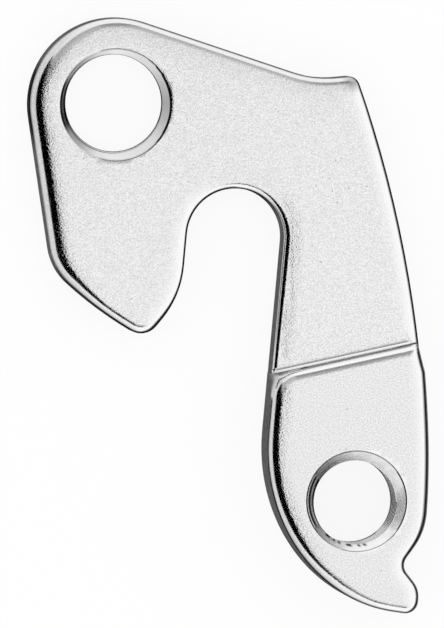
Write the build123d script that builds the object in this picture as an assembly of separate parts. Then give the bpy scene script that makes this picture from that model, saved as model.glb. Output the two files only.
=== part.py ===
from build123d import *
import os

# Bicycle derailleur hanger: one cast aluminium plate that steps up to a thicker lobe.
# It lies on its back: the back face is z = 0 and the front looks along +Z.
# The origin is the axis of the derailleur thread. Lengths are millimetres and angles are degrees.
# Seen from the front, a lean is measured from the vertical and a slope from the horizontal.

# Thickness and rounded edges
PLATE_THICKNESS = 4.2
LOBE_THICKNESS = 7.2
PLATE_EDGE = 1.0
LOBE_EDGE = 1.1
BACK_EDGE = 0.3

# Ledge between the plate and the lobe
LEDGE_DISTANCE = 15.1
LEDGE_SLOPE = 12.0

# Derailleur thread, M10 x 1, bored to its minor diameter
THREAD_DIAMETER = 10.0
THREAD_PITCH = 1.0
MINOR_DROP_PER_PITCH = 1.0825
THREAD_MOUTH = 10.85
THREAD_BACK_CHAMFER = 0.3

# Hole for the frame bolt: it tapers to a short straight land at the back
BOLT_X = -25.15
BOLT_Y = 42.15
BOLT_HOLE = 10.2
BOLT_LAND = 1.0
BOLT_MOUTH = 12.0

# Slot for the wheel axle, open at the bottom
AXLE_X = -12.5
AXLE_Y = 28.1
SLOT_WIDTH = 10.25
SLOT_LEAN = 5.25

# Claw in front of the slot
SHOULDER_DEPTH = 6.8
SHOULDER_RADIUS = 10.5
NOSE_LEAN = 40.0
NOSE_LENGTH = 5.9
TIP_RADIUS = 2.1
SOLE_BOW = 0.46
HEEL_RADIUS = 6.4

# Head round the frame bolt, the top edge and its peak
HEAD_RADIUS = 9.25
FRONT_LEAN = 8.4
FRONT_LENGTH = 16.2
TOP_SLOPE = 18.5
TOP_LENGTH = 19.3
DIP_RADIUS = 11.2
PEAK_SLOPE = 5.7
PEAK_LENGTH = 4.4
PEAK_RADIUS = 1.25

# Rear edge, from the peak down to the lobe's rear corner
BROW_LEAN = 20.4
LOBE_LEAN = 6.2
REAR_FULLNESS = 0.6
LOBE_CORNER_X = 7.5
LOBE_CORNER_Y = -3.2
LOBE_CORNER_RADIUS = 6.9

# Stop tab below the lobe
LOWER_LEAN = 37.0
LOWER_LENGTH = 4.4
NOTCH_RADIUS = 1.3
TAB_BACK_LEAN = 38.0
TAB_BACK_LENGTH = 3.2
TAB_BACK_RADIUS = 2.5
TAB_END_LEAN = 5.0
TAB_END_LENGTH = 2.8
TAB_TIP_RADIUS = 1.35

# Belly, from the bottom edge up to the slot's rear wall
BOTTOM_SLOPE = 8.8
BELLY_FOOT = 14.9
BELLY_RISE = 16.8
BELLY_FULLNESS = 0.56


def along(angle):
    """Unit vector at an angle from +X, seen from the front."""
    return Vector(1, 0).rotate(Axis.Z, angle)


def meet(point, direction, other_point, other_direction):
    """Point where two straight lines cross."""
    gap = other_point - point
    return point + direction * (gap.cross(other_direction).Z / direction.cross(other_direction).Z)


def sweep(start, start_direction, end, end_direction, fullness):
    """Smooth curve that leaves one straight line and runs into another."""
    crossing = meet(start, start_direction, end, end_direction)
    return Bezier(start, start + (crossing - start) * fullness, end + (crossing - end) * fullness, end)


# Places that several features share
THREAD_AXIS = Vector(0, 0)
BOLT_AXIS = Vector(BOLT_X, BOLT_Y)
AXLE_AXIS = Vector(AXLE_X, AXLE_Y)
SLOT_UP = along(90 - SLOT_LEAN)
SLOT_ACROSS = along(-SLOT_LEAN)
SLOT_FRONT = AXLE_AXIS - SLOT_ACROSS * (SLOT_WIDTH / 2)
SLOT_REAR = AXLE_AXIS + SLOT_ACROSS * (SLOT_WIDTH / 2)


def outline():
    """Face of the hanger, walked clockwise from the front wall of the slot."""
    shoulder = SLOT_FRONT - SLOT_UP * SHOULDER_DEPTH
    tip = shoulder + along(-90 - NOSE_LEAN) * NOSE_LENGTH
    front = along(90 + FRONT_LEAN)
    heel = BOLT_AXIS + along(180 + FRONT_LEAN) * HEAD_RADIUS - front * FRONT_LENGTH
    top = along(-TOP_SLOPE)
    dip = BOLT_AXIS + along(90 - TOP_SLOPE) * HEAD_RADIUS + top * TOP_LENGTH
    head = meet(heel, front, dip, top)
    peak = dip + along(PEAK_SLOPE) * PEAK_LENGTH
    lobe_corner = THREAD_AXIS + Vector(LOBE_CORNER_X, LOBE_CORNER_Y)
    notch = lobe_corner + along(-90 - LOWER_LEAN) * LOWER_LENGTH
    tab_back = notch + along(-90 + TAB_BACK_LEAN) * TAB_BACK_LENGTH
    tab_tip = tab_back + along(-90 - TAB_END_LEAN) * TAB_END_LENGTH
    bottom = along(180 - BOTTOM_SLOPE)
    belly = meet(tab_tip, bottom, SLOT_REAR, SLOT_UP)
    belly_foot = belly - bottom * BELLY_FOOT
    belly_rise = belly + SLOT_UP * BELLY_RISE
    face = make_face([
        Polyline(SLOT_FRONT, shoulder, tip),
        SagittaArc(tip, heel, SOLE_BOW),
        Polyline(heel, head, dip, peak),
        sweep(peak, along(-90 + BROW_LEAN), lobe_corner, along(-90 - LOBE_LEAN), REAR_FULLNESS),
        Polyline(lobe_corner, notch, tab_back, tab_tip, belly_foot),
        sweep(belly_foot, bottom, belly_rise, SLOT_UP, BELLY_FULLNESS),
        Line(belly_rise, SLOT_REAR),
        ThreePointArc(SLOT_REAR, AXLE_AXIS + SLOT_UP * (SLOT_WIDTH / 2), SLOT_FRONT),
    ])
    rounded_corners = (
        (shoulder, SHOULDER_RADIUS),
        (tip, TIP_RADIUS),
        (heel, HEEL_RADIUS),
        (head, HEAD_RADIUS),
        (dip, DIP_RADIUS),
        (peak, PEAK_RADIUS),
        (lobe_corner, LOBE_CORNER_RADIUS),
        (notch, NOTCH_RADIUS),
        (tab_back, TAB_BACK_RADIUS),
        (tab_tip, TAB_TIP_RADIUS),
    )
    for corner, radius in rounded_corners:
        face = fillet(face.vertices().sort_by_distance(corner)[0], radius)
    return face


def lobe_outline(face):
    """Part of the face below the ledge."""
    ledge_middle = THREAD_AXIS + along(90 + LEDGE_SLOPE) * LEDGE_DISTANCE
    reach = 2 * face.bounding_box().diagonal
    below_ledge = Rectangle(reach, reach, rotation=LEDGE_SLOPE, align=(Align.CENTER, Align.MAX))
    return face & Pos(ledge_middle) * below_ledge


def rounded_plate(face, thickness, front_edge):
    """Flat plate standing on the back face, with its front edge rounded."""
    solid = extrude(face, thickness)
    return fillet(solid.edges().group_by(Axis.Z)[-1], front_edge)


def thread_hole():
    """Tapping bore with a countersunk front mouth and a small chamfer at the back."""
    minor_radius = (THREAD_DIAMETER - MINOR_DROP_PER_PITCH * THREAD_PITCH) / 2
    mouth_radius = THREAD_MOUTH / 2
    mouth_depth = mouth_radius - minor_radius
    back_radius = minor_radius + THREAD_BACK_CHAMFER
    profile = Polyline(
        (0, 0),
        (back_radius, 0),
        (minor_radius, THREAD_BACK_CHAMFER),
        (minor_radius, LOBE_THICKNESS - mouth_depth),
        (mouth_radius, LOBE_THICKNESS),
        (0, LOBE_THICKNESS),
        close=True,
    )
    return Pos(THREAD_AXIS) * revolve(Plane.XZ * make_face(profile), Axis.Z)


def bolt_hole():
    """Straight land at the back that opens to a wide tapered mouth at the front."""
    profile = Polyline(
        (0, 0),
        (BOLT_HOLE / 2, 0),
        (BOLT_HOLE / 2, BOLT_LAND),
        (BOLT_MOUTH / 2, PLATE_THICKNESS),
        (0, PLATE_THICKNESS),
        close=True,
    )
    return Pos(BOLT_AXIS) * revolve(Plane.XZ * make_face(profile), Axis.Z)


def hanger():
    """Plate and lobe as one casting, with its back edge broken and its two holes machined."""
    face = outline()
    plate = rounded_plate(face, PLATE_THICKNESS, PLATE_EDGE)
    lobe = rounded_plate(lobe_outline(face), LOBE_THICKNESS, LOBE_EDGE)
    casting = plate + lobe
    casting = chamfer(casting.edges().group_by(Axis.Z)[0], BACK_EDGE)
    return casting - thread_hole() - bolt_hole()


os.makedirs("parts", exist_ok=True)
export_step(hanger(), "parts/hanger.step")
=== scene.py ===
# %% [markdown]
# # A derailleur hanger, cast in bright aluminium
# The hanger is one small casting: a flat plate that is bolted to a bicycle frame, and a thicker
# lobe below it that carries the derailleur on a tapped hole. The CAD frame gives every place and
# size. This lesson models the casting once more with the softness of a real one: rounded rims of
# different sizes, a hollow foot below the ledge, a cut thread, and a pebbled skin.

# %% Load the CAD frame
import math

import bmesh
import bpy
from mathutils import Matrix, Vector
from mathutils.kdtree import KDTree


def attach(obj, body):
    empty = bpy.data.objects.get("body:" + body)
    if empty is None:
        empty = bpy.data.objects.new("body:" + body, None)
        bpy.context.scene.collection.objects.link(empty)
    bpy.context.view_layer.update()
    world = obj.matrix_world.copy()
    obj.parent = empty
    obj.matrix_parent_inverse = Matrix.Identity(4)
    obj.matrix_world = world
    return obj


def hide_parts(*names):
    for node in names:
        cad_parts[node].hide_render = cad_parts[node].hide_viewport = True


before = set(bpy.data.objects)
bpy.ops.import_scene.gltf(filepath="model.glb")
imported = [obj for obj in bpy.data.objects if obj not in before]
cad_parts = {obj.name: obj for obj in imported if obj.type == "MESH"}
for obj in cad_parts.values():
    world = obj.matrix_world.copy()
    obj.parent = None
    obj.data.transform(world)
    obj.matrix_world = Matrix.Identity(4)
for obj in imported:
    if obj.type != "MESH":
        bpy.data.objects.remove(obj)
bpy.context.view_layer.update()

MM = 0.001

# %% [markdown]
# ## Camera
# The hanger lies on its back, so its picture is taken from above. The camera stands a little to
# the left and a little towards the top, which is why the left walls show and the right ones hide.
# A long lens from far away keeps the sides parallel, as in a catalogue picture.

# %% Camera
CAMERA_DISTANCE = 1.2
CAMERA_LEFT = math.radians(6.4)
CAMERA_UP = math.radians(2.4)
LOOK_AT = Vector((-13.73, 19.88, 1.93)) * MM
PIXELS_PER_METRE = 9420.0
IMAGE_HEIGHT = 628
SENSOR = 36.0

towards_camera = Vector((
    -math.sin(CAMERA_LEFT) * math.cos(CAMERA_UP),
    math.sin(CAMERA_UP),
    math.cos(CAMERA_LEFT) * math.cos(CAMERA_UP),
))
camera_right = Vector((0, 1, 0)).cross(towards_camera).normalized()
camera_top = towards_camera.cross(camera_right)

camera_data = bpy.data.cameras.new("camera")
camera_data.sensor_fit = "AUTO"
camera_data.sensor_width = SENSOR
camera_data.lens = SENSOR * PIXELS_PER_METRE * CAMERA_DISTANCE / IMAGE_HEIGHT
camera = bpy.data.objects.new("camera", camera_data)
camera_turn = Matrix((camera_right, camera_top, towards_camera)).transposed().to_4x4()
camera_place = Matrix.Translation(LOOK_AT + towards_camera * CAMERA_DISTANCE)
camera.matrix_world = camera_place @ camera_turn
bpy.context.scene.collection.objects.link(camera)
bpy.context.scene.camera = camera
print("lens:", round(camera_data.lens, 1), "mm")

# %% [markdown]
# ## Helpers
# Every piece below is drawn in a bmesh and then put in the scene as an object at the origin. A
# piece that needs modifiers is baked: Blender works the modifiers out, and the result is a plain
# mesh that the next step can go on with.

# %% From bmesh to object, and from modifiers to plain mesh
def place(name, drawing):
    """Object at the origin with the drawing's mesh."""
    mesh = bpy.data.meshes.new(name)
    drawing.to_mesh(mesh)
    drawing.free()
    piece = bpy.data.objects.new(name, mesh)
    bpy.context.scene.collection.objects.link(piece)
    return piece


def bake(piece):
    """Work out the piece's modifiers and keep only the mesh they give."""
    bpy.context.view_layer.update()
    worked_out = piece.evaluated_get(bpy.context.evaluated_depsgraph_get())
    mesh = bpy.data.meshes.new_from_object(worked_out)
    piece.modifiers.clear()
    piece.data = mesh
    return piece


def drawing_of(piece):
    """Bmesh with a copy of the piece's mesh."""
    drawing = bmesh.new()
    drawing.from_mesh(piece.data)
    return drawing


# %% [markdown]
# ## Outline
# The casting's outline is the same all the way through its thickness, so one slice of the CAD
# model gives it. The slice leaves three rings: the outline and the two holes. Only the longest
# ring is kept.

# %% Slice the CAD model and keep its outer ring
SLICE_HEIGHT = 2.0 * MM
SAME_POINT = 1e-6


def rings(drawing):
    """Lists of the vertices that hang together."""
    left = set(drawing.verts)
    found = []
    while left:
        ring, queue = [], [left.pop()]
        while queue:
            vertex = queue.pop()
            ring.append(vertex)
            for edge in vertex.link_edges:
                other = edge.other_vert(vertex)
                if other in left:
                    left.remove(other)
                    queue.append(other)
        found.append(ring)
    return found


def longest_side(vertices):
    """Size of the box round some vertices, along its longest side."""
    return max(max(v.co[i] for v in vertices) - min(v.co[i] for v in vertices) for i in range(3))


outline = drawing_of(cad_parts["hanger"])
bmesh.ops.remove_doubles(outline, verts=outline.verts, dist=SAME_POINT)
bmesh.ops.bisect_plane(
    outline,
    geom=outline.verts[:] + outline.edges[:] + outline.faces[:],
    plane_co=(0, 0, SLICE_HEIGHT),
    plane_no=(0, 0, 1),
    clear_inner=True,
    clear_outer=True,
)
slice_rings = sorted(rings(outline), key=longest_side)
for ring in slice_rings[:-1]:
    bmesh.ops.delete(outline, geom=ring, context="VERTS")
print("slice:", len(slice_rings), "rings,", len(outline.verts), "points on the outer one")

# %% [markdown]
# The ring still has the small facets of the CAD mesh. Points that almost touch are merged, the
# edges are cut into short ones of even length, and a few turns of relaxing make smooth curves of
# them. Then the ring is laid down on the back and filled with one face.

# %% Even out the outline
OUTLINE_STEP = 0.2 * MM
ALMOST_TOUCHING = 0.02 * MM
RELAXING_TURNS = 3

bmesh.ops.remove_doubles(outline, verts=outline.verts, dist=ALMOST_TOUCHING)
for edge in outline.edges[:]:
    cuts = math.ceil(edge.calc_length() / OUTLINE_STEP) - 1
    if cuts > 0:
        bmesh.ops.subdivide_edges(outline, edges=[edge], cuts=cuts)
for _ in range(RELAXING_TURNS):
    bmesh.ops.smooth_vert(
        outline, verts=outline.verts, factor=0.5, use_axis_x=True, use_axis_y=True
    )
bmesh.ops.translate(outline, verts=outline.verts, vec=(0, 0, -SLICE_HEIGHT))
bmesh.ops.edgeloop_fill(outline, edges=outline.edges)
print("outline:", len(outline.verts), "points")

# %% [markdown]
# ## Rims
# A casting's edges are rounded by the mould and the tumbling drum, and not all alike: the rim is
# fullest at the front of the plate, smaller round the rest, and slimmest inside the axle slot. A
# Bevel modifier rounds them, and each edge's bevel weight says how much of its width that edge
# takes. The weight changes slowly along the outline, so no rim shows where one ends.

# %% Rounded slab from a face
WIDEST_RIM = 1.75 * MM
BACK_RIM = 0.3 * MM
RIM_SEGMENTS = 12


def share(value, empty, full):
    """0 up to the empty value, 1 from the full value on, and even steps between."""
    return max(0.0, min(1.0, (value - empty) / (full - empty)))


def rounded_slab(name, face_drawing, top, front_rim):
    """Extrude the face up to the top height and round its front and back edges."""
    bottom = face_drawing.verts[:][0].co.z
    extruded = bmesh.ops.extrude_face_region(face_drawing, geom=face_drawing.faces[:])
    raised = [part for part in extruded["geom"] if isinstance(part, bmesh.types.BMVert)]
    bmesh.ops.translate(face_drawing, verts=raised, vec=(0, 0, top - bottom))
    bmesh.ops.recalc_face_normals(face_drawing, faces=face_drawing.faces)
    weight = face_drawing.edges.layers.float.new("bevel_weight_edge")
    for edge in face_drawing.edges:
        low, high = sorted(vertex.co.z for vertex in edge.verts)
        rim = front_rim((edge.verts[0].co + edge.verts[1].co) / 2)
        if low > top / 2:
            edge[weight] = rim / WIDEST_RIM
        elif high < top / 2:
            edge[weight] = min(rim, BACK_RIM) / WIDEST_RIM
    slab = place(name, face_drawing)
    rims = slab.modifiers.new("rims", "BEVEL")
    rims.limit_method = "WEIGHT"
    rims.width = WIDEST_RIM
    rims.segments = RIM_SEGMENTS
    rims.profile = 0.5
    rims.use_clamp_overlap = False
    return bake(slab)


# %% [markdown]
# ## Plate
# The plate is the upper part of the outline. Below the ledge it only needs a short tongue that
# reaches into the lobe, so that the two can be joined into one casting. The whole face is drawn in
# and raised by a hair, because a Boolean likes no two faces in the same place.

# %% Cut the outline below the ledge and draw the tongue
LEDGE_DISTANCE = 15.1 * MM
LEDGE_SLOPE = math.radians(12.0)
TONGUE_START_FRONT = Vector((-8.95, 13.05, 0)) * MM
TONGUE_START_REAR = Vector((7.7, 15.0, 0)) * MM
TONGUE_LENGTH = 2.0 * MM
TONGUE_TAPER = 2.0 * MM
PLATE_DRAWN_IN = 0.03 * MM
PLATE_RAISED = 0.02 * MM

ledge_up = Vector((-math.sin(LEDGE_SLOPE), math.cos(LEDGE_SLOPE), 0))
ledge_along = Vector((math.cos(LEDGE_SLOPE), math.sin(LEDGE_SLOPE), 0))
ledge_middle = ledge_up * LEDGE_DISTANCE


def keep_side(face_drawing, point, direction):
    """Cut the face along a line and keep the side away from the direction. Returns the two ends."""
    cut = bmesh.ops.bisect_plane(
        face_drawing,
        geom=face_drawing.verts[:] + face_drawing.edges[:] + face_drawing.faces[:],
        plane_co=point,
        plane_no=direction,
        clear_outer=True,
    )
    ends = [part for part in cut["geom_cut"] if isinstance(part, bmesh.types.BMVert)]
    return sorted(ends, key=lambda vertex: vertex.co.x)


plate_face = outline.copy()
bmesh.ops.inset_region(
    plate_face,
    faces=plate_face.faces[:],
    thickness=PLATE_DRAWN_IN,
    use_boundary=True,
    use_even_offset=True,
)
drawn_off = [face for face in plate_face.faces if len(face.verts) == 4]
bmesh.ops.delete(plate_face, geom=drawn_off, context="FACES")
across = TONGUE_START_REAR - TONGUE_START_FRONT
tongue_down = Vector((across.y, -across.x, 0)).normalized()
ends = keep_side(plate_face, TONGUE_START_FRONT, tongue_down)
root = next(edge for edge in ends[0].link_edges if edge.other_vert(ends[0]) is ends[1])
tongue = bmesh.ops.extrude_edge_only(plate_face, edges=[root])
tongue_ends = [part for part in tongue["geom"] if isinstance(part, bmesh.types.BMVert)]
tongue_ends.sort(key=lambda vertex: vertex.co.x)
for vertex, inwards in zip(tongue_ends, (1, -1)):
    vertex.co += ledge_along * TONGUE_TAPER * inwards - ledge_up * TONGUE_LENGTH
bmesh.ops.dissolve_faces(plate_face, faces=plate_face.faces[:])
bmesh.ops.translate(plate_face, verts=plate_face.verts, vec=(0, 0, PLATE_RAISED))
print("plate's face:", len(plate_face.verts), "points")

# %% [markdown]
# The rim of the plate is fullest in front of the bolt hole. Along the slot's rear wall it runs
# slimmer and slimmer down to the ledge. A rim may only change its width along a straight or
# slowly bending edge: on a tight bend its rows of points would fold over each other.

# %% Round the plate
PLATE_THICKNESS = 4.2 * MM
FRONT_RIM = 1.75 * MM
FRONT_RIM_ALONG = (-27 * MM, -32 * MM)
OUTER_RIM = 1.05 * MM
SLOT_RIM = 0.75 * MM
SLOT_MIDDLE = Vector((-12.5, 26.0, 0)) * MM
SLOT_RIM_WITHIN = (10.8 * MM, 7.5 * MM)
SLOT_FOOT_RIM = 0.55 * MM
SLOT_REAR_WALL = (-11 * MM, -4 * MM)
SLOT_REAR_TOP = 27 * MM
SLOT_FOOT_UP = (26 * MM, 15 * MM)
PEAK_RIM = 0.9 * MM
PEAK = Vector((0.0, 44.5, 0)) * MM
PEAK_RIM_WITHIN = (6 * MM, 2 * MM)
TONGUE_MARGIN = 0.1 * MM


def plate_rim(point):
    """Rim of the plate: fullest in front, smaller at the slot and the peak, none on the tongue."""
    flat = Vector((point.x, point.y, 0))
    if (flat - TONGUE_START_FRONT).dot(tongue_down) > TONGUE_MARGIN:
        return 0.0
    rim = OUTER_RIM + (FRONT_RIM - OUTER_RIM) * share(flat.x, *FRONT_RIM_ALONG)
    rim += (SLOT_RIM - rim) * share((flat - SLOT_MIDDLE).length, *SLOT_RIM_WITHIN)
    if SLOT_REAR_WALL[0] < flat.x < SLOT_REAR_WALL[1] and flat.y < SLOT_REAR_TOP:
        rim = SLOT_RIM + (SLOT_FOOT_RIM - SLOT_RIM) * share(flat.y, *SLOT_FOOT_UP)
    return rim + (PEAK_RIM - rim) * share((flat - PEAK).length, *PEAK_RIM_WITHIN)


plate = rounded_slab("plate", plate_face, PLATE_THICKNESS, plate_rim)
print("plate:", len(plate.data.polygons), "faces")

# %% [markdown]
# ## Lobe
# The lobe is the lower part of the same outline, cut off along the ledge and made thicker. Its
# front corner is rounded. Its rear corner is set back a little, so the step fades into the rear
# edge. Both corners need clear room, so the outline points close to them are dissolved.

# %% Cut the outline at the ledge and round its front corner
FRONT_ROOM = 2.6 * MM
REAR_ROOM = 3.0 * MM
FRONT_ARC_START = 2.25 * MM
FRONT_ARC_STEPS = 14
REAR_SETBACK = 0.45 * MM
LEDGE_CUTS = 40

lobe_face = outline.copy()
ends = keep_side(lobe_face, ledge_middle, ledge_up)
front_corner, rear_corner = [end.co.copy() for end in ends]
ledge_edge = next(edge for edge in ends[0].link_edges if edge.other_vert(ends[0]) is ends[1])
bmesh.ops.subdivide_edges(lobe_face, edges=[ledge_edge], cuts=LEDGE_CUTS)
for corner, room, setback in (
    (front_corner, FRONT_ROOM, 0.0),
    (rear_corner, REAR_ROOM, REAR_SETBACK),
):
    end = min(lobe_face.verts, key=lambda vertex: (vertex.co - corner).length)
    near = [v for v in lobe_face.verts if v is not end and (v.co - corner).length < room]
    end.co -= ledge_along * setback
    bmesh.ops.dissolve_verts(lobe_face, verts=near)
front_end = min(lobe_face.verts, key=lambda vertex: (vertex.co - front_corner).length)
rounded = bmesh.ops.bevel(
    lobe_face,
    geom=[front_end],
    offset=FRONT_ARC_START,
    offset_type="OFFSET",
    affect="VERTICES",
    segments=FRONT_ARC_STEPS,
    profile=0.5,
    material=-1,
)
arc = [vertex.co.copy() for vertex in rounded["verts"]]
arc.sort(key=lambda point: point.dot(ledge_up))
arc_low, arc_high = arc[0], arc[-1]
arc_ends = [round((point - front_corner).length / MM, 2) for point in (arc_high, arc_low)]
print("front corner:", len(arc), "points on its arc, which ends", arc_ends, "mm from the corner")

# %% [markdown]
# The lobe's rim is a little smaller along the ledge and on the small stop tab below. It widens
# only below the round corner, where the front edge is almost straight.

# %% Raise and round the lobe
LOBE_THICKNESS = 7.2 * MM
LOBE_RIM = 1.3 * MM
LEDGE_RIM = 1.15 * MM
LEDGE_RIM_BELOW = (3.6 * MM, 7.5 * MM)
TAB_RIM = 0.9 * MM
TAB_CENTRE = Vector((5.5, -10.0, 0)) * MM
TAB_RIM_WITHIN = (8 * MM, 4 * MM)


def lobe_rim(point):
    """Rim of the lobe: smaller along the ledge and on the tab."""
    flat = Vector((point.x, point.y, 0))
    below_ledge = LEDGE_DISTANCE - flat.dot(ledge_up)
    rim = LEDGE_RIM + (LOBE_RIM - LEDGE_RIM) * share(below_ledge, *LEDGE_RIM_BELOW)
    return rim + (TAB_RIM - rim) * share((flat - TAB_CENTRE).length, *TAB_RIM_WITHIN)


lobe = rounded_slab("lobe", lobe_face, LOBE_THICKNESS, lobe_rim)
print("lobe:", len(lobe.data.polygons), "faces")

# %% [markdown]
# Only the top of the front corner is round. Its foot is square, so the wall of the ledge runs
# straight out to the front edge, and a small shoulder slopes from there up to the round top.
# Points of the arc are drawn out to the corner's two straight sides: all the way at the foot, and
# less and less towards the top.

# %% Draw the foot of the front corner out to a square
SQUARE_UP_TO = 4.75 * MM
SHOULDER_REACH = 3.6 * MM
SHOULDER_CURVE = 1.5
UPRIGHT = 0.01
ON_ARC = (0.4, 1.1)
ON_SIDE = 1e-4


def flat_distance(point, centre):
    """Distance between two points as seen from the front."""
    return math.hypot(point.x - centre.x, point.y - centre.y)


squared = drawing_of(lobe)
wall_faces = [
    face for face in squared.faces
    if abs(face.normal.z) < UPRIGHT
    and flat_distance(face.calc_center_median(), front_corner) < SHOULDER_REACH
]
wall_edges = {edge for face in wall_faces for edge in face.edges}
wall_points = {vertex for edge in wall_edges for vertex in edge.verts}
bmesh.ops.bisect_plane(
    squared,
    geom=wall_faces + list(wall_edges) + list(wall_points),
    plane_co=(0, 0, SQUARE_UP_TO),
    plane_no=(0, 0, 1),
)
arc_centre = arc_low + arc_high - front_corner
to_ledge, to_front = front_corner - arc_low, front_corner - arc_high
area = to_ledge.cross(to_front).z
drawn_out = 0
for vertex in squared.verts:
    out = vertex.co - arc_centre
    along_front, along_ledge = out.cross(to_front).z / area, to_ledge.cross(out).z / area
    from_centre = math.hypot(along_front, along_ledge)
    if min(along_front, along_ledge) > ON_SIDE and ON_ARC[0] < from_centre < ON_ARC[1]:
        height = share(vertex.co.z, SQUARE_UP_TO, LOBE_THICKNESS)
        full_stretch = from_centre / max(along_front, along_ledge) - 1
        stretch = full_stretch * (1 - height) ** SHOULDER_CURVE
        vertex.co.x += out.x * stretch
        vertex.co.y += out.y * stretch
        drawn_out += 1
squared.to_mesh(lobe.data)
squared.free()
print("points drawn out:", drawn_out)

# %% [markdown]
# The rear end of the ledge is softer on top than at the wall, as a mould and a tumbling drum leave
# it. The long edges of the rim are cut up there, and then its rows are relaxed sideways, the upper
# rows more often than the lower ones. The heights stay, so the top stays flat.

# %% Soften the rear end of the ledge
RIM_FOOT = LOBE_THICKNESS - LEDGE_RIM
CUT_UP_REACH = REAR_ROOM + 0.8 * MM
LONG_EDGE = 0.8 * MM
LONG_EDGE_CUTS = 9
LEVEL_ROW = 0.03 * MM
SOFT_REACH = 2.6 * MM
SOFT_TURNS = 10
SOFT_UP_TO = 0.9 * LEDGE_RIM


def rim_near(drawing, corner, reach, lowest):
    """Vertices round a corner, from the lowest height up."""
    return [
        vertex for vertex in drawing.verts
        if vertex.co.z > lowest and flat_distance(vertex.co, corner) < reach
    ]


soft = drawing_of(lobe)
near = set(rim_near(soft, rear_corner, CUT_UP_REACH, RIM_FOOT))
long_edges = [
    edge for edge in soft.edges
    if near.issuperset(edge.verts)
    and edge.calc_length() > LONG_EDGE
    and abs(edge.verts[0].co.z - edge.verts[1].co.z) < LEVEL_ROW
]
bmesh.ops.subdivide_edges(soft, edges=long_edges, cuts=LONG_EDGE_CUTS)
for turn in range(SOFT_TURNS):
    rows = rim_near(soft, rear_corner, SOFT_REACH, RIM_FOOT + SOFT_UP_TO * turn / SOFT_TURNS)
    bmesh.ops.smooth_vert(soft, verts=rows, factor=0.5, use_axis_x=True, use_axis_y=True)
soft.to_mesh(lobe.data)
soft.free()
print("long edges cut up:", len(long_edges))

# %% [markdown]
# ## Holes
# The bolt hole tapers towards the back and its front rim is broken by a small round. Its short
# straight land was drilled, a touch off the taper's axis. The thread hole is bored, countersunk and
# tapped, and its countersink is a touch off the axis too. All are cut by tools that are drawn like
# real ones. Most of them are turned: Spin takes a profile once round the axis.

# %% Turned cutters
TURN_STEPS = 96
SEAM = 1e-7


def turned_cutter(name, centre, profile):
    """Solid of revolution about a vertical axis from radius and height in millimetres."""
    drawing = bmesh.new()
    points = [drawing.verts.new((radius * MM, 0, height * MM)) for radius, height in profile]
    lines = [drawing.edges.new(pair) for pair in zip(points, points[1:])]
    bmesh.ops.spin(
        drawing,
        geom=points + lines,
        cent=(0, 0, 0),
        axis=(0, 0, 1),
        angle=math.tau,
        steps=TURN_STEPS,
        use_merge=True,
    )
    bmesh.ops.remove_doubles(drawing, verts=drawing.verts, dist=SEAM)
    bmesh.ops.recalc_face_normals(drawing, faces=drawing.faces)
    bmesh.ops.translate(drawing, verts=drawing.verts, vec=centre)
    return place(name, drawing)


# %% Cutter of the bolt hole
BOLT_CENTRE = Vector((-25.15, 42.15, 0)) * MM
BOLT_LAND = 1.05 * MM
BOLT_TAPER = (1.1 * MM, 3.9 * MM)
MOUTH_SHIFT = Vector((-0.11, 0.02, 0)) * MM
TAPER_SHIFT = Vector((-0.08, 0.1, 0)) * MM
LAND_SHIFT = Vector((-0.04, 0.14, 0)) * MM


def bolt_shift(height):
    """How far the bolt hole is off its axis at a height."""
    if height < BOLT_LAND:
        return LAND_SHIFT
    return TAPER_SHIFT.lerp(MOUTH_SHIFT, share(height, *BOLT_TAPER))


bolt_cutter = turned_cutter("bolt_cutter", BOLT_CENTRE, (
    (0, -1), (5.45, -1), (5.45, -0.05), (5.15, 0.25), (5.15, 1.0), (5.24, 1.1), (5.74, 3.9),
    (5.76, 4.0), (5.82, 4.1), (5.91, 4.17), (6.02, 4.22), (6.02, 5), (0, 5),
))
for point in bolt_cutter.data.vertices:
    point.co += bolt_shift(point.co.z)
print("bolt cutter:", len(bolt_cutter.data.polygons), "faces")

# %% Bore and countersink of the thread hole
COUNTERSINK_SHIFT = Vector((0.03, 0.19, 0)) * MM

bore_cutter = turned_cutter("bore_cutter", Vector((0, 0, 0)), (
    (0, -1), (4.9, -1), (4.9, -0.05), (4.46, 0.39), (4.46, 8), (0, 8),
))
countersink = turned_cutter("countersink", COUNTERSINK_SHIFT, (
    (0, 5.98), (4.1, 5.98), (4.62, 6.466), (4.78, 6.615), (4.94, 6.764), (5.08, 6.895),
    (5.2, 7.007), (5.3, 7.1), (5.34, 7.15), (5.4, 7.205), (5.4, 8), (0, 8),
))
for cutter in (bore_cutter, countersink):
    print(cutter.name, len(cutter.data.polygons), "faces")

# %% [markdown]
# The thread is cut by a tap. Its tooth is a small trapezium, and Spin moves it up by one pitch for
# every turn, which is what makes a helix of it. It starts below the back and runs out in the
# countersink.

# %% Tap
THREAD_PITCH = 1.0 * MM
TAP_START = -1.3 * MM
TAP_STEPS = 48
TAP_TURNS = 7
TAP_TOOTH = ((4.40, -0.39), (5.0, -0.06), (5.0, 0.06), (4.40, 0.39))

tap_drawing = bmesh.new()
tooth = [
    tap_drawing.verts.new((radius * MM, 0, height * MM + TAP_START))
    for radius, height in TAP_TOOTH
]
tooth_face = tap_drawing.faces.new(tooth)
bmesh.ops.spin(
    tap_drawing,
    geom=[tooth_face] + tooth_face.edges[:] + tooth,
    cent=(0, 0, 0),
    axis=(0, 0, 1),
    dvec=(0, 0, THREAD_PITCH / TAP_STEPS),
    angle=math.tau * TAP_TURNS,
    steps=TAP_STEPS * TAP_TURNS,
)
bmesh.ops.holes_fill(tap_drawing, edges=[edge for edge in tap_drawing.edges if edge.is_boundary])
bmesh.ops.recalc_face_normals(tap_drawing, faces=tap_drawing.faces)
tap = place("tap", tap_drawing)
print("tap:", len(tap.data.polygons), "faces")

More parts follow.
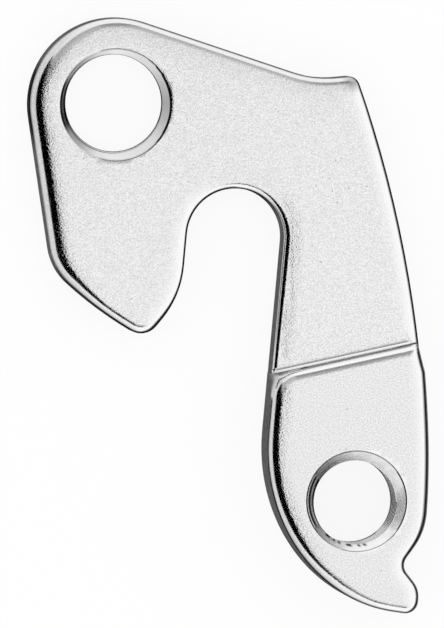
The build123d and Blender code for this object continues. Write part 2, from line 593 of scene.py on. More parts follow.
# %% [markdown]
# ## Hollow foot
# Where the ledge stands on the plate, the mould leaves no sharp inner corner but a small hollow
# foot. It is a slim moulding with a hollow front. Its profile is drawn first, in units of the
# hollow's radius: two sides that stay hidden in the plate and the lobe, and a quarter circle.

# %% Profile of the foot
FOOT_HOLLOW = 0.5 * MM
FOOT_DEPTH = -0.7
FOOT_TOE = 1.06
TOE_DEPTH = -0.02
ARC_STEPS = 8

foot_profile = [(FOOT_DEPTH, FOOT_DEPTH), (FOOT_TOE, FOOT_DEPTH), (FOOT_TOE, TOE_DEPTH)]
for i in range(1, ARC_STEPS + 1):
    angle = math.radians(270 - 90 * i / ARC_STEPS)
    foot_profile.append((1 + math.cos(angle), 1 + math.sin(angle)))
foot_profile.append((FOOT_DEPTH, 1.0))
print("profile of the foot:", len(foot_profile), "points")

# %% [markdown]
# The profile is then extruded along the ledge in short runs. Each stop has its place along the
# ledge, its size, and how far it sinks. In front the foot sinks with the rounded rim of the slot
# and runs out to the wall. At the rear it shrinks and dies away in the plate's rim.

# %% Moulding along the foot of the ledge
FOOT_STOPS = (
    (-5.6, 0.45, 0.34), (-5.54, 0.6, 0.23), (-5.44, 0.8, 0.12), (-5.29, 0.92, 0.04),
    (-5.05, 1.0, 0.0), (9.1, 1.0, 0.0), (9.5, 0.95, 0.06), (9.8, 0.8, 0.2), (10.0, 0.5, 0.38),
    (10.1, 0.3, 0.5),
)

foot_drawing = bmesh.new()
foot_line = ledge_middle + Vector((0, 0, PLATE_THICKNESS))
end_face = foot_drawing.faces.new([
    foot_drawing.verts.new(foot_line + (ledge_up * out + Vector((0, 0, up))) * FOOT_HOLLOW)
    for out, up in foot_profile
])
here, size_before = foot_line, 1.0
for number, (stop, size, drop) in enumerate(FOOT_STOPS):
    if number > 0:
        run = bmesh.ops.extrude_face_region(foot_drawing, geom=[end_face])
        if number > 1:
            bmesh.ops.delete(foot_drawing, geom=[end_face], context="FACES_ONLY")
        end_face = next(part for part in run["geom"] if isinstance(part, bmesh.types.BMFace))
    there = foot_line + (ledge_along * stop - Vector((0, 0, drop))) * MM
    bmesh.ops.translate(foot_drawing, verts=end_face.verts[:], vec=there - here)
    bmesh.ops.scale(
        foot_drawing,
        verts=end_face.verts[:],
        vec=[size / size_before] * 3,
        space=Matrix.Translation(-there),
    )
    here, size_before = there, size
bmesh.ops.recalc_face_normals(foot_drawing, faces=foot_drawing.faces)
foot = place("foot", foot_drawing)
print("foot:", len(foot.data.polygons), "faces")

# %% [markdown]
# ## One casting
# Each hole is cut while its slab is still on its own, and then the two slabs become one casting.
# Booleans like round numbers, so the meshes are worked out in millimetres and go back to metres.
# After each step the points that it left almost in one place are merged, and the open edges are
# counted: there must be none.

# %% Cut the holes, then join the plate and the lobe
DOUBLE_POINTS = 1e-4


def combine(piece, operation, tool):
    """Boolean with a tool, which is used up."""
    step = piece.modifiers.new(operation, "BOOLEAN")
    step.object = tool
    step.operation = operation
    step.solver = "EXACT"
    bake(piece)
    bpy.data.objects.remove(tool)
    whole = drawing_of(piece)
    bmesh.ops.remove_doubles(whole, verts=whole.verts, dist=DOUBLE_POINTS)
    open_edges = [edge for edge in whole.edges if not edge.is_manifold]
    print(piece.name, operation, len(whole.faces), "faces,", len(open_edges), "open edges,",
          round(whole.calc_volume(signed=True), 1), "mm3")
    whole.to_mesh(piece.data)
    whole.free()


for piece in (plate, lobe, foot, bolt_cutter, bore_cutter, countersink, tap):
    piece.data.transform(Matrix.Scale(1 / MM, 4))
combine(plate, "DIFFERENCE", bolt_cutter)
combine(lobe, "DIFFERENCE", bore_cutter)
combine(lobe, "DIFFERENCE", countersink)
combine(lobe, "DIFFERENCE", tap)
combine(plate, "UNION", lobe)
combine(plate, "UNION", foot)
casting = plate
casting.name = "hanger_casting"
casting.data.transform(Matrix.Scale(MM, 4))

# %% [markdown]
# ## Zones
# The casting has two finishes: the cast skin, and the machined metal of the holes. Each face gets
# the finish of its zone. Edges that turn sharply, like those of the thread, stay sharp, and all
# others are shaded as one smooth surface.

# %% Sort the faces into finishes
CAST, MACHINED = range(2)
BOLT_ZONE = 6.2 * MM
THREAD_ZONE = 5.7 * MM
LEVEL = 0.999
SHARP = math.radians(35)


def in_hole(point):
    """True inside the bolt hole and the thread hole."""
    return flat_distance(point, BOLT_CENTRE) < BOLT_ZONE or point.xy.length < THREAD_ZONE


body = drawing_of(casting)
counts = [0, 0]
for face in body.faces:
    level = abs(face.normal.z) > LEVEL
    bored = in_hole(face.calc_center_median()) and not level
    face.material_index = MACHINED if bored else CAST
    counts[face.material_index] += 1
    face.smooth = True
for edge in body.edges:
    if len(edge.link_faces) == 2:
        edge.smooth = edge.calc_face_angle() < SHARP
print("cast and machined faces:", counts)

# %% [markdown]
# ## Wear and painted light
# The skin is not the same all over. Some parts are dull and carry painted shade, some carry a
# darker painted shade, some are pebbled, some are polished and carry a painted highlight, and the
# walls of the holes carry a painted reflection. Every vertex carries these amounts as plain numbers,
# which the materials read as attributes. A flat face has no vertices inside it, so the flat front
# and back are first cut into a grid.

# %% Cut the flat faces into a grid
GRID_STEP = 0.7 * MM
QUITE_LEVEL = 0.9999


def flat_parts():
    """Flat front and back faces with their edges and vertices."""
    faces = [face for face in body.faces if abs(face.normal.z) > QUITE_LEVEL]
    edges = {edge for face in faces for edge in face.edges}
    return faces + list(edges) + list({vertex for edge in edges for vertex in edge.verts})


for axis in (Vector((1, 0, 0)), Vector((0, 1, 0))):
    spots = [vertex.co.dot(axis) for vertex in body.verts]
    for step in range(1, math.ceil((max(spots) - min(spots)) / GRID_STEP)):
        bmesh.ops.bisect_plane(
            body, geom=flat_parts(), plane_co=axis * (min(spots) + step * GRID_STEP), plane_no=axis
        )
print("faces with the grid:", len(body.faces))

# %% [markdown]
# Each vertex also needs to know how far it is from the nearest side wall, and which way that wall
# looks. A search tree of all the wall's vertices answers that quickly.

# %% Find the side walls
WALL_FROM = 2 * MM
WALL_TILT = (60, 100)
NO_FACING = 1e-6


def tilt_of(vertex):
    """Angle in degrees between the surface and the front."""
    return math.degrees(math.acos(max(-1.0, min(1.0, vertex.normal.z))))


def facing_of(vertex):
    """Direction in which the surface looks, as seen from the front."""
    level = vertex.normal.xy
    return level.normalized() if level.length > NO_FACING else Vector((0, 0))


wall_vertices = [
    vertex for vertex in body.verts
    if vertex.co.z > WALL_FROM
    and WALL_TILT[0] < tilt_of(vertex) < WALL_TILT[1]
    and not in_hole(vertex.co)
]
wall_tree = KDTree(len(wall_vertices))
for number, vertex in enumerate(wall_vertices):
    wall_tree.insert((vertex.co.x, vertex.co.y, 0), number)
wall_tree.balance()
wall_facings = [facing_of(vertex) for vertex in wall_vertices]
print("wall vertices:", len(wall_vertices))

# %% Amounts on every vertex
ON_LOBE = 4.4 * MM
FRONT_FACING = (0.2, 0.7)
CLEAR_FACING = (0.3, 0.8)

# Besides wear, these amounts carry painted shade, a darker painted shade, a painted highlight and a
# painted reflection.
dull_and_shade = body.verts.layers.float.new("dull_and_shade")
pebbles = body.verts.layers.float.new("pebbles")
polish_and_highlight = body.verts.layers.float.new("polish_and_highlight")
painted_shade = body.verts.layers.float.new("painted_shade")
painted_reflection = body.verts.layers.float.new("painted_reflection")


def surroundings(vertex):
    """Tilt, angle off the level, and the facing and distance of the nearest wall."""
    tilt = tilt_of(vertex)
    _, number, distance = wall_tree.find((vertex.co.x, vertex.co.y, 0))
    return tilt, min(tilt, 180 - tilt), wall_facings[number], distance


def mean_of(layer):
    """Mean amount over all vertices, to print."""
    return round(sum(vertex[layer] for vertex in body.verts) / len(body.verts), 3)


print("amounts:", body.verts.layers.float.keys())

# %% [markdown]
# ### Dull walls with painted shade
# The tumbling drum polishes what it reaches: the front and the rims. The side walls stay dull and
# rough, and their dark tone is painted shade. The painted shade climbs further up the rear and lower
# rims than up the front ones. The step of the ledge is bright almost to its foot, and the shoulder
# at its front end is bright all over. So every rim has its own tilt at which it turns dull and
# shaded.

# %% Tilt at which a rim turns dull and takes painted shade
DULL_SHADE_START = 63.0
DULL_SHADE_START_FRONT = 67.0
DULL_SHADE_START_REAR = 44.0
DULL_SHADE_START_LOBE_REAR = 37.0
DULL_SHADE_START_BELOW = 50.0
DULL_SHADE_START_LEDGE = 80.0
NEVER_DULL_OR_SHADED = 120.0
HIGH_ON_LOBE = 5 * MM
SHOULDER_RADIUS = 2.9 * MM
SHOULDER_LOOKS_UP = 0.1
LEDGE_BAND = 1.5 * MM
LEDGE_LOOKS_UP = 0.9


def dull_and_shade_start(vertex):
    """Tilt in degrees at which the rim turns dull and takes painted shade."""
    facing = facing_of(vertex)
    high = vertex.co.z > HIGH_ON_LOBE
    near_corner = flat_distance(vertex.co, front_corner) < SHOULDER_RADIUS
    on_shoulder = near_corner and facing.y > SHOULDER_LOOKS_UP
    if on_shoulder and high:
        return NEVER_DULL_OR_SHADED
    near_ledge = abs(LEDGE_DISTANCE - vertex.co.dot(ledge_up)) < LEDGE_BAND
    if on_shoulder or (near_ledge and facing.dot(ledge_up.xy) > LEDGE_LOOKS_UP):
        return DULL_SHADE_START_LEDGE
    start = DULL_SHADE_START
    start += (DULL_SHADE_START_FRONT - DULL_SHADE_START) * max(0.0, -facing.x)
    rear_start = DULL_SHADE_START_LOBE_REAR if high else DULL_SHADE_START_REAR
    start += (rear_start - DULL_SHADE_START) * max(0.0, facing.x)
    return start + (DULL_SHADE_START_BELOW - DULL_SHADE_START) * max(0.0, -facing.y)


# %% [markdown]
# On top of that come three thin veils of painted shade: on the front rims, along the plate's upper
# edge and on its peak. The lobe's rear wall gets painted light, so it is a little lighter than the
# others.

# %% Dull the walls and paint their shade
DULL_SHADE_BLUR = 4.0
BACK_TILT = (170, 150)
PAINTED_REAR_LIGHT = 0.2
PAINTED_REAR_LIGHT_TILT = (60, 70)
FRONT_SHADE_VEIL = 0.25
FRONT_SHADE_VEIL_TILT = (36, 46)
BROW_SHADE = 0.1
BROW_DISTANCE = (3.2 * MM, 1.0 * MM)
BROW_UP = (28 * MM, 34 * MM)
PEAK_SHADE = 0.55
PEAK_CORNER = Vector((-0.1, 44.6, 0)) * MM
PEAK_DISTANCE = (1.4 * MM, 0.3 * MM)
PEAK_TILT = (100, 60)


def shade_veil_of(vertex, tilt, wall_facing, distance):
    """Thin painted shade on the front rims, along the brow and on the peak."""
    front = FRONT_SHADE_VEIL * share(-wall_facing.x, *FRONT_FACING)
    front *= share(tilt, *FRONT_SHADE_VEIL_TILT) * share(tilt, *BACK_TILT)
    brow = BROW_SHADE * share(wall_facing.y, *CLEAR_FACING)
    brow *= share(distance, *BROW_DISTANCE) * share(vertex.co.y, *BROW_UP)
    peak = PEAK_SHADE * share(flat_distance(vertex.co, PEAK_CORNER), *PEAK_DISTANCE)
    return max(front, brow, peak * share(tilt, *PEAK_TILT))


for vertex in body.verts:
    tilt, off_level, wall_facing, distance = surroundings(vertex)
    start = dull_and_shade_start(vertex)
    on_lobe = vertex.co.z > ON_LOBE
    blur = DULL_SHADE_BLUR if on_lobe else DULL_SHADE_BLUR * (1 + max(0.0, -facing_of(vertex).x))
    # This amount is dullness and painted shade at once; where it starts depends on which way the rim
    # faces.
    wall = share(tilt, start - blur, start + blur) * share(tilt, *BACK_TILT)
    if on_lobe:
        # Painted light on the lobe's rear wall: less shade there.
        rear = share(wall_facing.x, *CLEAR_FACING)
        wall *= 1 - PAINTED_REAR_LIGHT * rear * share(off_level, *PAINTED_REAR_LIGHT_TILT)
    vertex[dull_and_shade] = max(wall, shade_veil_of(vertex, tilt, wall_facing, distance))
print("mean dullness:", mean_of(dull_and_shade))

# %% [markdown]
# ### Painted shade on the rear and lower walls
# Painted shade darkens the dull metal almost to black on the rear and lower walls. In front there
# are only two thin painted dark lines, one under the lobe's rim and one down the head.

# %% Painted shade and dark lines
LOBE_SHADE_TILT = (64, 54)
LOBE_LINE_FROM = (60, 65)
LOBE_LINE_TO = (84, 79)
HEAD_FROM = (37.5 * MM, 39.5 * MM)
HEAD_TO = (47.5 * MM, 45.5 * MM)
HEAD_FACING = (0.8, 0.95)

for vertex in body.verts:
    tilt, off_level, wall_facing, _ = surroundings(vertex)
    # Painted shade: black on the rear and lower walls, and two painted dark lines in front.
    rear_or_sole = share(max(wall_facing.x, -wall_facing.y), *CLEAR_FACING)
    if vertex.co.z > ON_LOBE:
        line = share(tilt, *LOBE_LINE_FROM) * share(tilt, *LOBE_LINE_TO)
        line *= share(-wall_facing.x, *FRONT_FACING)
        vertex[painted_shade] = max(rear_or_sole * share(off_level, *LOBE_SHADE_TILT), line)
    else:
        line = share(vertex.co.y, *HEAD_FROM) * share(vertex.co.y, *HEAD_TO)
        line *= share(-wall_facing.x, *HEAD_FACING)
        vertex[painted_shade] = max(rear_or_sole, line)
print("mean soot:", mean_of(painted_shade))

# %% [markdown]
# ### Pebbles, polish and painted highlight
# The pebbles of the mould show on the flat front, and coarser ones lie in a band just inside the
# front rim. The rims are rubbed smooth and carry a painted highlight, most of all at the rear, where
# the painted highlight reaches a little way into the flat.

# %% Pebbles
FLAT_PEBBLES = 0.35
FLAT_TILT = (30, 10)
COARSE_PEBBLES = 1.1
COARSE_FACING = (0.62, 0.9)
COARSE_FROM = 0.7 * MM
COARSE_FADE = 0.3 * MM
COARSE_TO = (2.4 * MM, 1.4 * MM)
HEEL_SETBACK = 0.35 * MM
HEEL_FACING = (-0.95, -0.7)
SOLE_PEBBLES = 0.15
SOLE_FACING = (0.5, 0.9)

for vertex in body.verts:
    _, off_level, wall_facing, distance = surroundings(vertex)
    on_lobe = vertex.co.z > ON_LOBE
    sole = 0.0 if on_lobe else SOLE_PEBBLES * share(-wall_facing.y, *SOLE_FACING)
    coarse = max(share(-wall_facing.x, *COARSE_FACING), sole)
    start = COARSE_FROM + HEEL_SETBACK * share(wall_facing.x, *HEEL_FACING)
    coarse *= share(distance, start, start + COARSE_FADE) * share(distance, *COARSE_TO)
    vertex[pebbles] = FLAT_PEBBLES * share(off_level, *FLAT_TILT) + COARSE_PEBBLES * coarse
print("mean of the pebbles:", mean_of(pebbles))

# %% Polish and painted highlight
RIM_TILT = (5, 22)
FRONT_LESS_HIGHLIGHT = 0.9
REAR_FACING = (0.2, 0.8)
REAR_HIGHLIGHT = (1.7 * MM, 0.5 * MM)

for vertex in body.verts:
    _, off_level, wall_facing, distance = surroundings(vertex)
    front = share(-wall_facing.x, *FRONT_FACING)
    # Polish lifts the tone as a painted highlight, less on the front rims and most at the rear.
    rim = share(off_level, *RIM_TILT) * (1 - FRONT_LESS_HIGHLIGHT * front)
    rear = share(wall_facing.x, *REAR_FACING) * share(distance, *REAR_HIGHLIGHT)
    vertex[polish_and_highlight] = max(rim, rear)
print("mean polish:", mean_of(polish_and_highlight))

# %% [markdown]
# ### Painted reflection in the bolt hole
# The wall of the bolt hole carries a painted reflection: bright at the top and the bottom, dark on
# the front side, and painted shade on the land at the back and the rear lip. The tones are given by
# angle: 0 is the rear, 90 the top, 180 the front and 270 the bottom.

# %% Tones of the bolt hole
DARK = 0.02
THIN_LINE = 0.35
BOLT_TONES = (
    (0, 0.55), (17, 0.62), (44, 0.82), (90, 0.92), (111, 0.78), (131, 0.45), (149, 0.33),
    (159, 0.02), (201, 0.02), (211, 0.45), (229, 0.6), (249, 0.88), (270, 0.92), (316, 0.82),
    (343, 0.62), (360, 0.55),
)
BOLT_LIP = 5.97 * MM
BOLT_LIP_WIDTH = 0.22 * MM
BOLT_LIP_SIDE = (0.45, 0.85)
BOLT_LINE = 5.88 * MM
LIP_SIDE = 0.4
LINE_SIDE = -0.3


def between(stops, place_on_way):
    """Value at a place between stops of place and value."""
    for (start, low), (end, high) in zip(stops, stops[1:]):
        if place_on_way <= end:
            return low + (high - low) * share(place_on_way, start, end)
    return stops[-1][1]


def angle_of(side):
    """Angle of a direction in degrees, from the rear round by the top."""
    return math.degrees(math.atan2(side.y, side.x)) % 360


def bolt_reflection_tone(point):
    """Tone of the bolt hole's wall: a painted reflection."""
    around = (point - BOLT_CENTRE - bolt_shift(point.z)).xy
    side = around.normalized()
    lip = BOLT_LIP - BOLT_LIP_WIDTH * share(side.x, *BOLT_LIP_SIDE)
    if point.z < BOLT_LAND or (around.length > lip and side.x > LIP_SIDE):
        return DARK
    if around.length > BOLT_LINE and side.x > LINE_SIDE:
        return THIN_LINE
    return between(BOLT_TONES, angle_of(side))


# %% [markdown]
# ### Painted reflection in the thread hole
# The thread hole carries a painted reflection in the same way. In front, the first turns of the
# thread show as painted dark and bright stripes, given by radius. A few dark ticks stand at the
# bottom, where the thread starts, each one step of the turned cutter wide.

# %% Tones of the thread hole
COUNTERSINK_TONES = (
    (0, 0.85), (30, 0.85), (60, 0.92), (90, 0.95), (105, 0.75), (120, 0.55), (140, 0.38),
    (150, 0.25), (208, 0.15), (218, 0.4), (235, 0.5), (250, 0.7), (262, 0.92), (315, 0.95),
    (330, 0.9), (360, 0.85),
)
BORE_FRONT = ((0.0, 0.25), (0.5, 0.25), (0.75, 0.4), (0.9, 0.7), (1.0, 0.9))
BORE_REAR = ((0.0, 0.7), (0.3, 0.85), (1.0, 0.95))
BORE_RADIUS = 4.5 * MM
STRIPES = (
    (5.4, 0.02), (5.3, 0.02), (5.2, 0.9), (5.08, 0.02), (4.94, 0.02), (4.78, 0.7), (4.62, 0.02),
    (4.46, 0.02),
)
STRIPES_SIDE = -0.85
DARK_TICKS = (61, 62, 64, 66, 69, 70, 73, 75)
TICK_RADIUS = 4.62 * MM
TICK_HEIGHT = 6.0 * MM
SCREW_LIP = 5.39 * MM
SCREW_LIP_WIDTH = 0.1 * MM
SCREW_LIP_SIDE = (0.5, 0.85)
SCREW_LINE = 5.32 * MM
DARK_UP_TO = 1.2 * MM
DARK_CORNER = 1.6 * MM
DARK_CORNER_FROM = (25, 45)
DARK_CORNER_TO = (85, 60)


def screw_reflection_tone(point):
    """Tone of the thread hole's wall: a painted reflection."""
    in_bore = point.xy.length < BORE_RADIUS
    around = (point if in_bore else point - COUNTERSINK_SHIFT).xy
    radius, side = around.length, around.normalized()
    angle = angle_of(side)
    step = round(angle / 360 * TURN_STEPS) % TURN_STEPS
    corner = share(angle, *DARK_CORNER_FROM) * share(angle, *DARK_CORNER_TO)
    lip = SCREW_LIP - SCREW_LIP_WIDTH * share(side.x, *SCREW_LIP_SIDE)
    if point.z < DARK_UP_TO + DARK_CORNER * corner or (radius > lip and side.x > LIP_SIDE):
        return DARK
    if radius > SCREW_LINE and side.x > LINE_SIDE:
        return THIN_LINE
    if point.xy.length < TICK_RADIUS and point.z > TICK_HEIGHT and step in DARK_TICKS:
        return DARK
    if side.x < STRIPES_SIDE:
        return min(STRIPES, key=lambda stripe: abs(stripe[0] * MM - radius))[1]
    if in_bore:
        return between(BORE_FRONT if side.x < 0 else BORE_REAR, abs(side.y))
    return between(COUNTERSINK_TONES, angle)


# %% Paint the reflections of the holes
NEAR_THREAD = 6 * MM

for vertex in body.verts:
    near_thread = vertex.co.xy.length < NEAR_THREAD
    # Painted reflection of each hole, kept as an amount on every vertex.
    vertex[painted_reflection] = screw_reflection_tone(vertex.co) if near_thread else bolt_reflection_tone(vertex.co)
print("mean tone of the holes:", mean_of(painted_reflection))

# %% [markdown]
# The body is complete and goes back into the casting. The Weighted Normal modifier gives the large
# flat faces the last word on the shading, so the flat front shows no smears next to its rims.

# %% Put the body back into the casting
body.to_mesh(casting.data)
body.free()
even = casting.modifiers.new("even_shading", "WEIGHTED_NORMAL")
even.keep_sharp = True
print("casting:", len(casting.data.polygons), "faces,", len(casting.data.vertices), "vertices")

# %% [markdown]
# ## Finishes
# Both finishes are bare aluminium, so they share one way of building: a metal shader, a fine
# noise that tilts the surface, and a coarser noise that varies its roughness.

# %% Node helpers
def metal(name):
    """New metal material, with its node tree and shader."""
    material = bpy.data.materials.new(name)
    material.use_nodes = True
    shader = material.node_tree.nodes["Principled BSDF"]
    shader.inputs["Metallic"].default_value = 1.0
    return material, material.node_tree, shader


def grain(tree, size, detail):
    """Noise on object coordinates whose lumps are about the given size."""
    coordinates = tree.nodes.new("ShaderNodeTexCoord")
    noise = tree.nodes.new("ShaderNodeTexNoise")
    noise.inputs["Scale"].default_value = 1 / size
    noise.inputs["Detail"].default_value = detail
    tree.links.new(coordinates.outputs["Object"], noise.inputs["Vector"])
    return noise.outputs["Fac"]


def amount(tree, name):
    """Amount that every vertex carries under this name."""
    attribute = tree.nodes.new("ShaderNodeAttribute")
    attribute.attribute_name = name
    return attribute.outputs["Fac"]


def spread(tree, value, low, high, start=0.3, end=0.7):
    """Stretch a value to run from low to high."""
    ramp = tree.nodes.new("ShaderNodeMapRange")
    ramp.inputs["From Min"].default_value = start
    ramp.inputs["From Max"].default_value = end
    ramp.inputs["To Min"].default_value = low
    ramp.inputs["To Max"].default_value = high
    tree.links.new(value, ramp.inputs["Value"])
    return ramp.outputs["Result"]


def blend(tree, share_of_second, first, second):
    """Mix two values."""
    mix = tree.nodes.new("ShaderNodeMix")
    tree.links.new(share_of_second, mix.inputs["Factor"])
    tree.links.new(first, mix.inputs["A"])
    tree.links.new(second, mix.inputs["B"])
    return mix.outputs["Result"]


def combined(tree, operation, first, second):
    """Sum or product of two values."""
    sum_or_product = tree.nodes.new("ShaderNodeMath")
    sum_or_product.operation = operation
    tree.links.new(first, sum_or_product.inputs[0])
    tree.links.new(second, sum_or_product.inputs[1])
    return sum_or_product.outputs["Value"]


def bumps(tree, shader, height, depth):
    """Tilt the surface by a height."""
    bump = tree.nodes.new("ShaderNodeBump")
    bump.inputs["Distance"].default_value = depth
    tree.links.new(height, bump.inputs["Height"])
    tree.links.new(bump.outputs["Normal"], shader.inputs["Normal"])


# %% [markdown]
# ### Cast skin
# The mould leaves a pebbled skin: grains a sixth of a millimetre wide, and a few dark specks, the
# painted shade of small pits, in the middle of large cells. The grains vary the tone of the bright
# metal, and where the rims are polished they almost vanish under a painted highlight.

# %% Bright tone of the cast skin
FINE_GRAIN = 0.16 * MM
BRIGHT_TONES = (0.69, 0.95)
RIM_HIGHLIGHT_TONES = (0.93, 0.98)
PIT_SPACING = 1.6 * MM
PIT_SHADE_TONES = (0.45, 1.0)
PIT_RADIUS = (0.03, 0.06)

skin, tree, shader = metal("cast_skin")
fine_grain = grain(tree, FINE_GRAIN, 1.0)
cells = tree.nodes.new("ShaderNodeTexVoronoi")
cells.inputs["Scale"].default_value = 1 / PIT_SPACING
tree.links.new(tree.nodes.new("ShaderNodeTexCoord").outputs["Object"], cells.inputs["Vector"])
# Painted shade of small pits: dark specks in the middle of large cells.
pit_shade = spread(tree, cells.outputs["Distance"], *PIT_SHADE_TONES, *PIT_RADIUS)
bright_tone = combined(tree, "MULTIPLY", spread(tree, fine_grain, *BRIGHT_TONES), pit_shade)
# Painted highlight: polished rims take a lighter tone, with the grains almost gone.
rim_highlight_tone = spread(tree, fine_grain, *RIM_HIGHLIGHT_TONES)
bright_tone = blend(tree, amount(tree, "polish_and_highlight"), bright_tone, rim_highlight_tone)
print("bright tone:", len(tree.nodes), "nodes")

# %% [markdown]
# On the side walls the tone falls to a dark grey with larger blotches, which is painted shade, and
# more painted shade makes it almost black on the rear and lower walls. Dull metal is rougher too,
# and shines less at its edges, which darkens it further as painted shade. Last, the pebbles tilt the
# surface as much as each vertex asks for.

# %% Painted shade, roughness and pebbles of the cast skin
DULL_BLOTCHES = 0.5 * MM
DULL_SHADE_TONES = (0.18, 0.3)
PAINTED_SHADE_TONES = (1.0, 0.08)
EDGE_SHINE = (1.0, 0.22)
WHOLE_RANGE = (0.0, 1.0)
POLISH_CLOUDS = 1.5 * MM
BRIGHT_ROUGHNESS = (0.11, 0.17)
DULL_CLOUDS = 1.0 * MM
DULL_ROUGHNESS = (0.38, 0.52)
PEBBLE_SIZE = 0.17 * MM
PEBBLE_DEPTH = 0.05 * MM

dullness_and_shade = amount(tree, "dull_and_shade")
# Painted shade: the dark grey of the dull walls.
dull_shade_tone = spread(tree, grain(tree, DULL_BLOTCHES, 2.0), *DULL_SHADE_TONES)
# Painted shade turns the dull walls almost black.
painted_shade_tone = spread(tree, amount(tree, "painted_shade"), *PAINTED_SHADE_TONES, *WHOLE_RANGE)
dull_shade_tone = combined(tree, "MULTIPLY", dull_shade_tone, painted_shade_tone)
tree.links.new(blend(tree, dullness_and_shade, bright_tone, dull_shade_tone), shader.inputs["Base Color"])
# Painted shade: the dull walls lose their edge shine.
tree.links.new(spread(tree, dullness_and_shade, *EDGE_SHINE, *WHOLE_RANGE), shader.inputs["Specular Tint"])
bright_roughness = spread(tree, grain(tree, POLISH_CLOUDS, 2.0), *BRIGHT_ROUGHNESS)
dull_roughness = spread(tree, grain(tree, DULL_CLOUDS, 2.0), *DULL_ROUGHNESS)
tree.links.new(blend(tree, dullness_and_shade, bright_roughness, dull_roughness), shader.inputs["Roughness"])
pebble_height = combined(tree, "MULTIPLY", grain(tree, PEBBLE_SIZE, 1.0), amount(tree, "pebbles"))
bumps(tree, shader, pebble_height, PEBBLE_DEPTH)
print(skin.name, len(tree.nodes), "nodes")

# %% [markdown]
# ### Machined holes
# A cutting tool leaves the walls of the holes smooth and clean. Their tone is a painted
# reflection, given by angle round each hole.

# %% Machined holes
TOOL_CLOUDS = 0.8 * MM
TOOL_ROUGHNESS = (0.16, 0.26)
TOOL_MARKS = 0.2 * MM
TOOL_MARK_DEPTH = 0.004 * MM

machined, tree, shader = metal("machined_hole")
painted_reflection_tone = amount(tree, "painted_reflection")
# Painted reflection: tone and edge tint of the holes.
tree.links.new(painted_reflection_tone, shader.inputs["Base Color"])
tree.links.new(painted_reflection_tone, shader.inputs["Specular Tint"])
tool_roughness = spread(tree, grain(tree, TOOL_CLOUDS, 2.0), *TOOL_ROUGHNESS)
tree.links.new(tool_roughness, shader.inputs["Roughness"])
bumps(tree, shader, grain(tree, TOOL_MARKS, 1.0), TOOL_MARK_DEPTH)
print(machined.name, len(tree.nodes), "nodes")

# %% [markdown]
# ## Dressing
# The finished casting takes the place of the CAD node and rides on its body.

# %% Dress the casting
for finish in (skin, machined):
    casting.data.materials.append(finish)
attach(casting, "root")
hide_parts("hanger")
print(casting.name, "wears", [finish.name for finish in casting.data.materials])

# %% [markdown]
# ## Floor
# The hanger lies on plain white paper. The camera and the metal see the paper almost as a light, so
# it stays evenly white in the picture. For all other rays it is ordinary paper, which keeps the soft
# shadow that the hanger throws under itself.

# %% White floor
FLOOR_HALF_SIZE = 1.5
PAPER_TONE = (0.96, 0.96, 0.96, 1)
PAPER_GLOW = 0.9

floor_drawing = bmesh.new()
bmesh.ops.create_grid(floor_drawing, x_segments=1, y_segments=1, size=FLOOR_HALF_SIZE)
floor = place("floor", floor_drawing)
paper = bpy.data.materials.new("white_paper")
paper.use_nodes = True
tree = paper.node_tree
tree.nodes.remove(tree.nodes["Principled BSDF"])
diffuse = tree.nodes.new("ShaderNodeBsdfDiffuse")
diffuse.inputs["Color"].default_value = PAPER_TONE
glow = tree.nodes.new("ShaderNodeEmission")
rays = tree.nodes.new("ShaderNodeLightPath").outputs
seen = combined(tree, "ADD", rays["Is Camera Ray"], rays["Is Glossy Ray"])
seen = combined(tree, "ADD", seen, rays["Is Transmission Ray"])
glow_share = tree.nodes.new("ShaderNodeMath")
glow_share.operation = "MULTIPLY"
glow_share.use_clamp = True
glow_share.inputs[1].default_value = PAPER_GLOW
tree.links.new(seen, glow_share.inputs[0])
paper_mix = tree.nodes.new("ShaderNodeMixShader")
tree.links.new(glow_share.outputs["Value"], paper_mix.inputs["Fac"])
tree.links.new(diffuse.outputs["BSDF"], paper_mix.inputs[1])
tree.links.new(glow.outputs["Emission"], paper_mix.inputs[2])
tree.links.new(paper_mix.outputs["Shader"], tree.nodes["Material Output"].inputs["Surface"])
floor.data.materials.append(paper)
print("floor:", 2 * FLOOR_HALF_SIZE, "m wide")

# %% [markdown]
# ## Light
# A small bright part is photographed in a light tent: white all round, with no lamp that would
# burn a spot into the metal. An even white world does the same.

# %% Even light
world = bpy.data.worlds.new("studio")
bpy.context.scene.world = world
world.use_nodes = True
world.node_tree.nodes["Background"].inputs["Color"].default_value = (1, 1, 1, 1)
world.node_tree.nodes["Background"].inputs["Strength"].default_value = 1.0
world.cycles.sampling_method = "NONE"
bpy.context.scene.view_settings.view_transform = "Standard"
print("light:", world.name)

# %% [markdown]
# ## Cards
# Bright metal shows whatever stands round it, so a few cards stand outside the picture, as in a
# studio. Black ones on the left draw the dark bands along the front rims, and grey and pale ones
# shade the lower and upper rims. Each is a piece of a sphere round the hanger, and the ends of the
# black ones taper, so the bands taper too. The cards show in the metal only.

# %% Card
CARD_REACH = 0.45
CARD_STEPS = (24, 8)


def on_way(ends, way):
    """Value part of the way between two ends."""
    return ends[0] + (ends[1] - ends[0]) * way


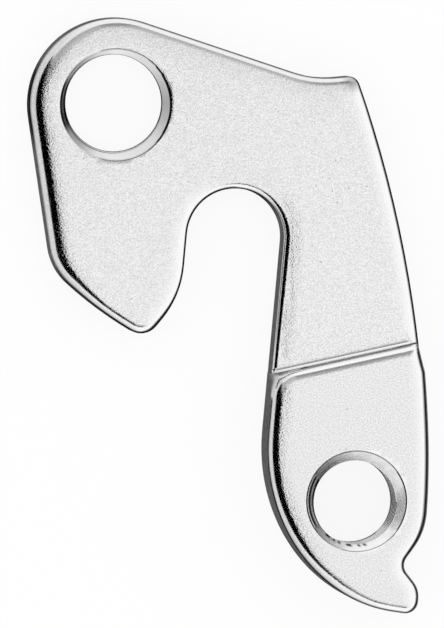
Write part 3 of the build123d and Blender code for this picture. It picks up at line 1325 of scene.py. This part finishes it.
def card(name, tone, azimuths, heights, end_heights=None, reach=CARD_REACH):
    """Curved card round the hanger. Azimuths are from +X, heights are angles from straight up."""
    drawing = bmesh.new()
    bmesh.ops.create_grid(drawing, x_segments=CARD_STEPS[0], y_segments=CARD_STEPS[1], size=1.0)
    for vertex in drawing.verts:
        along, down = (vertex.co.x + 1) / 2, (vertex.co.y + 1) / 2
        azimuth = math.radians(on_way(azimuths, along))
        start_and_end = on_way(heights, down), on_way(end_heights or heights, down)
        height = math.radians(on_way(start_and_end, along))
        level = Vector((math.cos(azimuth), math.sin(azimuth), 0)) * math.sin(height)
        vertex.co = LOOK_AT + (level + Vector((0, 0, math.cos(height)))) * reach
    screen = place(name, drawing)
    paint = bpy.data.materials.new(name)
    paint.use_nodes = True
    coat = paint.node_tree.nodes["Principled BSDF"]
    coat.inputs["Base Color"].default_value = (tone, tone, tone, 1)
    coat.inputs["Specular IOR Level"].default_value = 0.0
    coat.inputs["Roughness"].default_value = 1.0
    screen.data.materials.append(paint)
    screen.visible_camera = False
    screen.visible_diffuse = False
    screen.visible_transmission = False
    screen.visible_shadow = False
    print(name, "stands", reach, "m away")


# %% Put up the cards
BEHIND = 0.47
PALE_TONES = ((0.76, (6, 22)), (0.62, (22, 40)), (0.5, (40, 60)))
LEDGE_DARKER = 0.22

card("black_card_head", 0.0, (138, 168), (68, 74), (8, 77))
card("black_card_left", 0.0, (168, 198), (8, 77))
card("black_card_heel", 0.0, (198, 250), (8, 77), (31, 48))
card("grey_card_sole", 0.15, (250, 290), (34, 46))
card("grey_card_sole_upper", 0.45, (250, 290), (22, 34))
card("pale_card_sole", 0.75, (250, 290), (14, 22))
for number, (tone, heights) in enumerate(PALE_TONES):
    card(f"pale_card_right_{number}", tone, (50, 74), heights, reach=BEHIND)
    card(f"grey_card_ledge_{number}", tone - LEDGE_DARKER, (74, 98), heights, reach=BEHIND)
    card(f"pale_card_left_{number}", tone, (98, 158), heights, reach=BEHIND)

# %% [markdown]
# ## Sizes
# Last comes a look at the tape measure: the casting's length along each axis is printed.

# %% Sizes and finish
spots = [vertex.co for vertex in casting.data.vertices]
for i, axis in enumerate("XYZ"):
    length = max(spot[i] for spot in spots) - min(spot[i] for spot in spots)
    print("casting along", axis, round(length / MM, 2), "mm")
